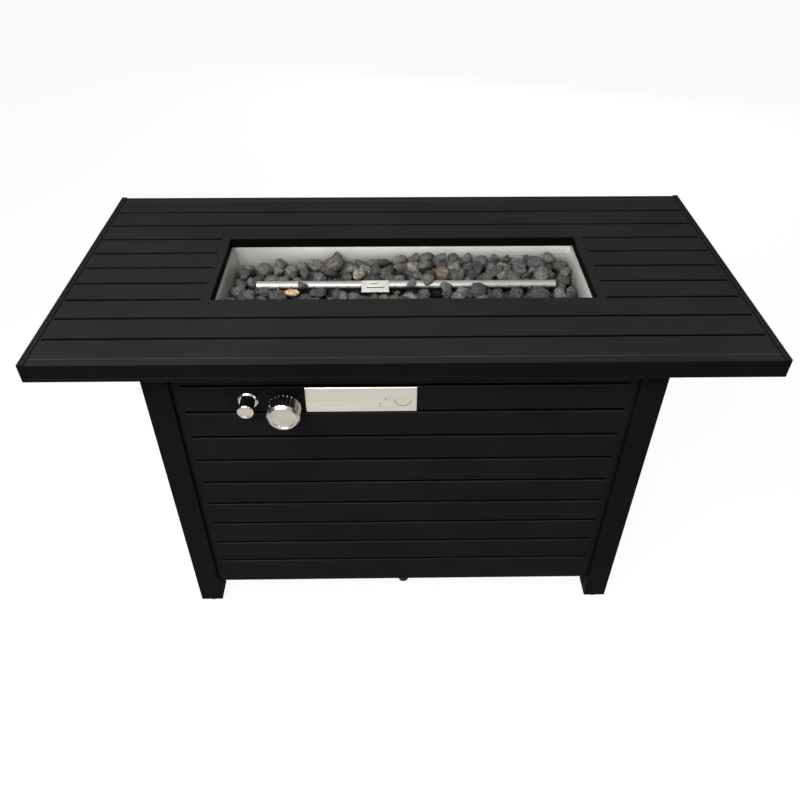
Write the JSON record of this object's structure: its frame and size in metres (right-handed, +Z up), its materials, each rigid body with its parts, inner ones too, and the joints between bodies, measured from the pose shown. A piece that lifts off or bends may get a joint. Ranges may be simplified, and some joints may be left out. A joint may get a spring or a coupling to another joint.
{
  "type": "fire pit table",
  "caption": "Rectangular slatted gas fire table with a long fire bowl, on a louvred cabinet with a rear door.",
  "frame": {"origin": "on the floor, under the middle of the table", "axes": "+X right as seen from the control side, +Y away from the control side, +Z up"},
  "size_m": [1.067, 0.508, 0.622],
  "materials": {
    "black_top": "satin black powder coat",
    "black_base": "satin black powder coat",
    "zinc_steel": "zinc plated",
    "rubber": "matt",
    "stainless": "mill finish",
    "label_metal": "fine brushed",
    "black_gloss": "gloss",
    "chrome": "polished",
    "brass": "turned",
    "aluminium": "as cast and drawn",
    "ceramic": "unglazed",
    "lava": "rough volcanic"
  },
  "bodies": {
    "root": {"bottom_shelf": "black_base", "bowl_hangers": "black_base", "burner_riser": "zinc_steel", "burner_saddles": "zinc_steel", "burner_tube": "stainless", "control_plate": "black_gloss", "electrode_cover": "stainless", "fire_bowl": "stainless", "foot_centre_front": "rubber", "foot_centre_rear": "rubber", "foot_front_left": "rubber", "foot_front_right": "rubber", "foot_rear_left": "rubber", "foot_rear_right": "rubber", "front_apron": "black_top", "front_panel": "black_base", "gas_tube": "aluminium", "gas_valve": "aluminium", "heat_shield": "zinc_steel", "hinge_leaf_frame": "black_base", "hinge_pins": "zinc_steel", "igniter_body": "black_gloss", "igniter_collar": "chrome", "label_plate": "label_metal", "lava_rocks": "lava", "left_panel": "black_base", "left_rim": "black_top", "leg_front_left": "black_base", "leg_front_right": "black_base", "leg_rear_left": "black_base", "leg_rear_right": "black_base", "magnetic_catch": "black_gloss", "opening_collar": "black_top", "orifice": "brass", "panel_edge": "black_top", "rear_apron": "black_top", "rear_header": "black_base", "right_panel": "black_base", "right_rim": "black_top", "riser_nuts": "zinc_steel", "shelf_rail_left": "black_base", "shelf_rail_right": "black_base", "spark_electrode": "ceramic", "top_frame": "black_base", "top_panel": "black_top", "top_stiffeners": "black_base", "valve_bracket": "zinc_steel", "valve_inlet": "brass", "venturi": "aluminium"},
    "thrust": {"thrust_collar": "brass"},
    "knob": {"control_knob": "chrome", "valve_stem": "brass"},
    "igniter": {"igniter_button": "chrome"},
    "door": {"rear_door": "black_base", "hinge_leaf_door": "black_base", "door_pull": "black_base", "catch_strike": "zinc_steel"}
  },
  "joints": [
    {"name": "knob_push", "type": "slide", "parent": "root", "child": "thrust", "axis": [0, 1, 0], "range_m": [0, 0.003], "stiffness_N_per_m": 1500, "springref_m": -0.003},
    {"name": "knob_turn", "type": "hinge", "parent": "thrust", "child": "knob", "pos_m": [-0.18, -0.2352, 0.517], "axis": [0, -1, 0], "range_deg": [0, 180]},
    {"name": "igniter_push", "type": "slide", "parent": "root", "child": "igniter", "axis": [0, 1, 0], "range_m": [0, 0.0035], "stiffness_N_per_m": 800, "springref_m": -0.003},
    {"name": "door_swing", "type": "hinge", "parent": "root", "child": "door", "pos_m": [-0.344, 0.2225, 0.324], "axis": [0, 0, 1], "range_deg": [0, 110]}
  ]
}
